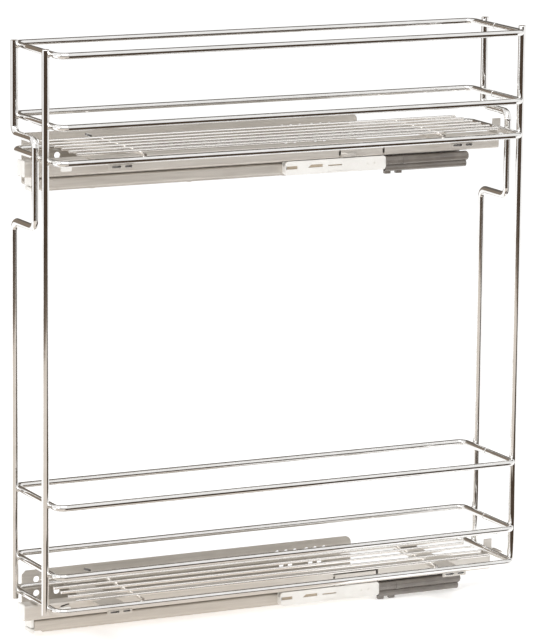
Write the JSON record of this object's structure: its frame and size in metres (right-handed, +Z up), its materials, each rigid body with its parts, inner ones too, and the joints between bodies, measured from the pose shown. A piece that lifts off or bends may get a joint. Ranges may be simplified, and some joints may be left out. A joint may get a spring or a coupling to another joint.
{
  "type": "two-tier pull-out cabinet basket",
  "caption": "Narrow chromed-wire pull-out basket with an upper and a lower tier, each on a full-extension soft-close roller runner that screws to the cabinet's side wall.",
  "frame": {"origin": "on the cabinet wall face, at mid length of the basket and at the height of the lower floor rail's centre line", "axes": "-X is the way the basket pulls out, +Y goes into the cabinet wall, +Z is up"},
  "size_m": [0.518, 0.114, 0.5625],
  "materials": {
    "chromed_wire": "polished",
    "zinc_steel": "zinc-plated sheet, satin",
    "white_plastic": "moulded",
    "grey_plastic": "moulded",
    "cage_plastic": "moulded",
    "roller_steel": "ground",
    "damper_steel": "drawn",
    "spring_steel": "drawn"
  },
  "bodies": {
    "wall_side": {"lower_wall_bracket": "zinc_steel", "lower_bracket_rivets": "zinc_steel", "lower_cabinet_profile": "zinc_steel", "lower_cabinet_end_cap": "white_plastic", "lower_soft_close_housing": "white_plastic", "lower_damper_cover": "grey_plastic", "lower_damper_cylinder": "damper_steel", "lower_pull_in_spring": "spring_steel", "upper_wall_bracket": "zinc_steel", "upper_bracket_rivets": "zinc_steel", "upper_cabinet_profile": "zinc_steel", "upper_cabinet_end_cap": "white_plastic", "upper_soft_close_housing": "white_plastic", "upper_damper_cover": "grey_plastic", "upper_damper_cylinder": "damper_steel", "upper_pull_in_spring": "spring_steel"},
    "basket": {"front_near_upright": "chromed_wire", "rear_near_upright": "chromed_wire", "front_wall_upright": "chromed_wire", "rear_wall_upright": "chromed_wire", "lower_drawer_profile": "zinc_steel", "lower_front_clip": "white_plastic", "lower_end_block": "white_plastic", "lower_catch_pin": "zinc_steel", "lower_floor_rail": "chromed_wire", "lower_middle_rail": "chromed_wire", "lower_top_rail": "chromed_wire", "lower_floor_wires": "chromed_wire", "lower_cross_wires": "chromed_wire", "lower_mounting_plates": "zinc_steel", "lower_plate_screws": "zinc_steel", "upper_drawer_profile": "zinc_steel", "upper_front_clip": "white_plastic", "upper_end_block": "white_plastic", "upper_catch_pin": "zinc_steel", "upper_floor_rail": "chromed_wire", "upper_middle_rail": "chromed_wire", "upper_top_rail": "chromed_wire", "upper_floor_wires": "chromed_wire", "upper_cross_wires": "chromed_wire", "upper_mounting_plates": "zinc_steel", "upper_plate_screws": "zinc_steel"},
    "lower_middle": {"lower_middle_profile": "zinc_steel", "lower_middle_end_cap": "white_plastic"},
    "lower_cabinet_cage": {"lower_cabinet_roller_cage": "cage_plastic", "lower_cabinet_rollers": "roller_steel"},
    "lower_drawer_cage": {"lower_drawer_roller_cage": "cage_plastic", "lower_drawer_rollers": "roller_steel"},
    "lower_catch": {"lower_catch_slider": "white_plastic", "lower_damper_rod": "damper_steel"},
    "upper_middle": {"upper_middle_profile": "zinc_steel", "upper_middle_end_cap": "white_plastic"},
    "upper_cabinet_cage": {"upper_cabinet_roller_cage": "cage_plastic", "upper_cabinet_rollers": "roller_steel"},
    "upper_drawer_cage": {"upper_drawer_roller_cage": "cage_plastic", "upper_drawer_rollers": "roller_steel"},
    "upper_catch": {"upper_catch_slider": "white_plastic", "upper_damper_rod": "damper_steel"}
  },
  "joints": [
    {"name": "basket_slide", "type": "slide", "parent": "wall_side", "child": "basket", "axis": [-1, 0, 0], "range_m": [0, 0.46]},
    {"name": "lower_middle_slide", "type": "slide", "parent": "wall_side", "child": "lower_middle", "axis": [-1, 0, 0], "range_m": [0, 0.23]},
    {"name": "lower_cabinet_cage_slide", "type": "slide", "parent": "wall_side", "child": "lower_cabinet_cage", "axis": [-1, 0, 0], "range_m": [0, 0.115]},
    {"name": "lower_drawer_cage_slide", "type": "slide", "parent": "wall_side", "child": "lower_drawer_cage", "axis": [-1, 0, 0], "range_m": [0, 0.345]},
    {"name": "lower_catch_slide", "type": "slide", "parent": "wall_side", "child": "lower_catch", "axis": [-1, 0, 0], "range_m": [0, 0.04]},
    {"name": "upper_middle_slide", "type": "slide", "parent": "wall_side", "child": "upper_middle", "axis": [-1, 0, 0], "range_m": [0, 0.23]},
    {"name": "upper_cabinet_cage_slide", "type": "slide", "parent": "wall_side", "child": "upper_cabinet_cage", "axis": [-1, 0, 0], "range_m": [0, 0.115]},
    {"name": "upper_drawer_cage_slide", "type": "slide", "parent": "wall_side", "child": "upper_drawer_cage", "axis": [-1, 0, 0], "range_m": [0, 0.345]},
    {"name": "upper_catch_slide", "type": "slide", "parent": "wall_side", "child": "upper_catch", "axis": [-1, 0, 0], "range_m": [0, 0.04]}
  ],
  "couplings": [
    {"joint": "lower_middle_slide", "follows": "basket_slide", "ratio": 0.5},
    {"joint": "lower_cabinet_cage_slide", "follows": "basket_slide", "ratio": 0.25},
    {"joint": "lower_drawer_cage_slide", "follows": "basket_slide", "ratio": 0.75},
    {"joint": "lower_catch_slide", "follows": "basket_slide", "ratio": 0.086957},
    {"joint": "upper_middle_slide", "follows": "basket_slide", "ratio": 0.5},
    {"joint": "upper_cabinet_cage_slide", "follows": "basket_slide", "ratio": 0.25},
    {"joint": "upper_drawer_cage_slide", "follows": "basket_slide", "ratio": 0.75},
    {"joint": "upper_catch_slide", "follows": "basket_slide", "ratio": 0.086957}
  ]
}
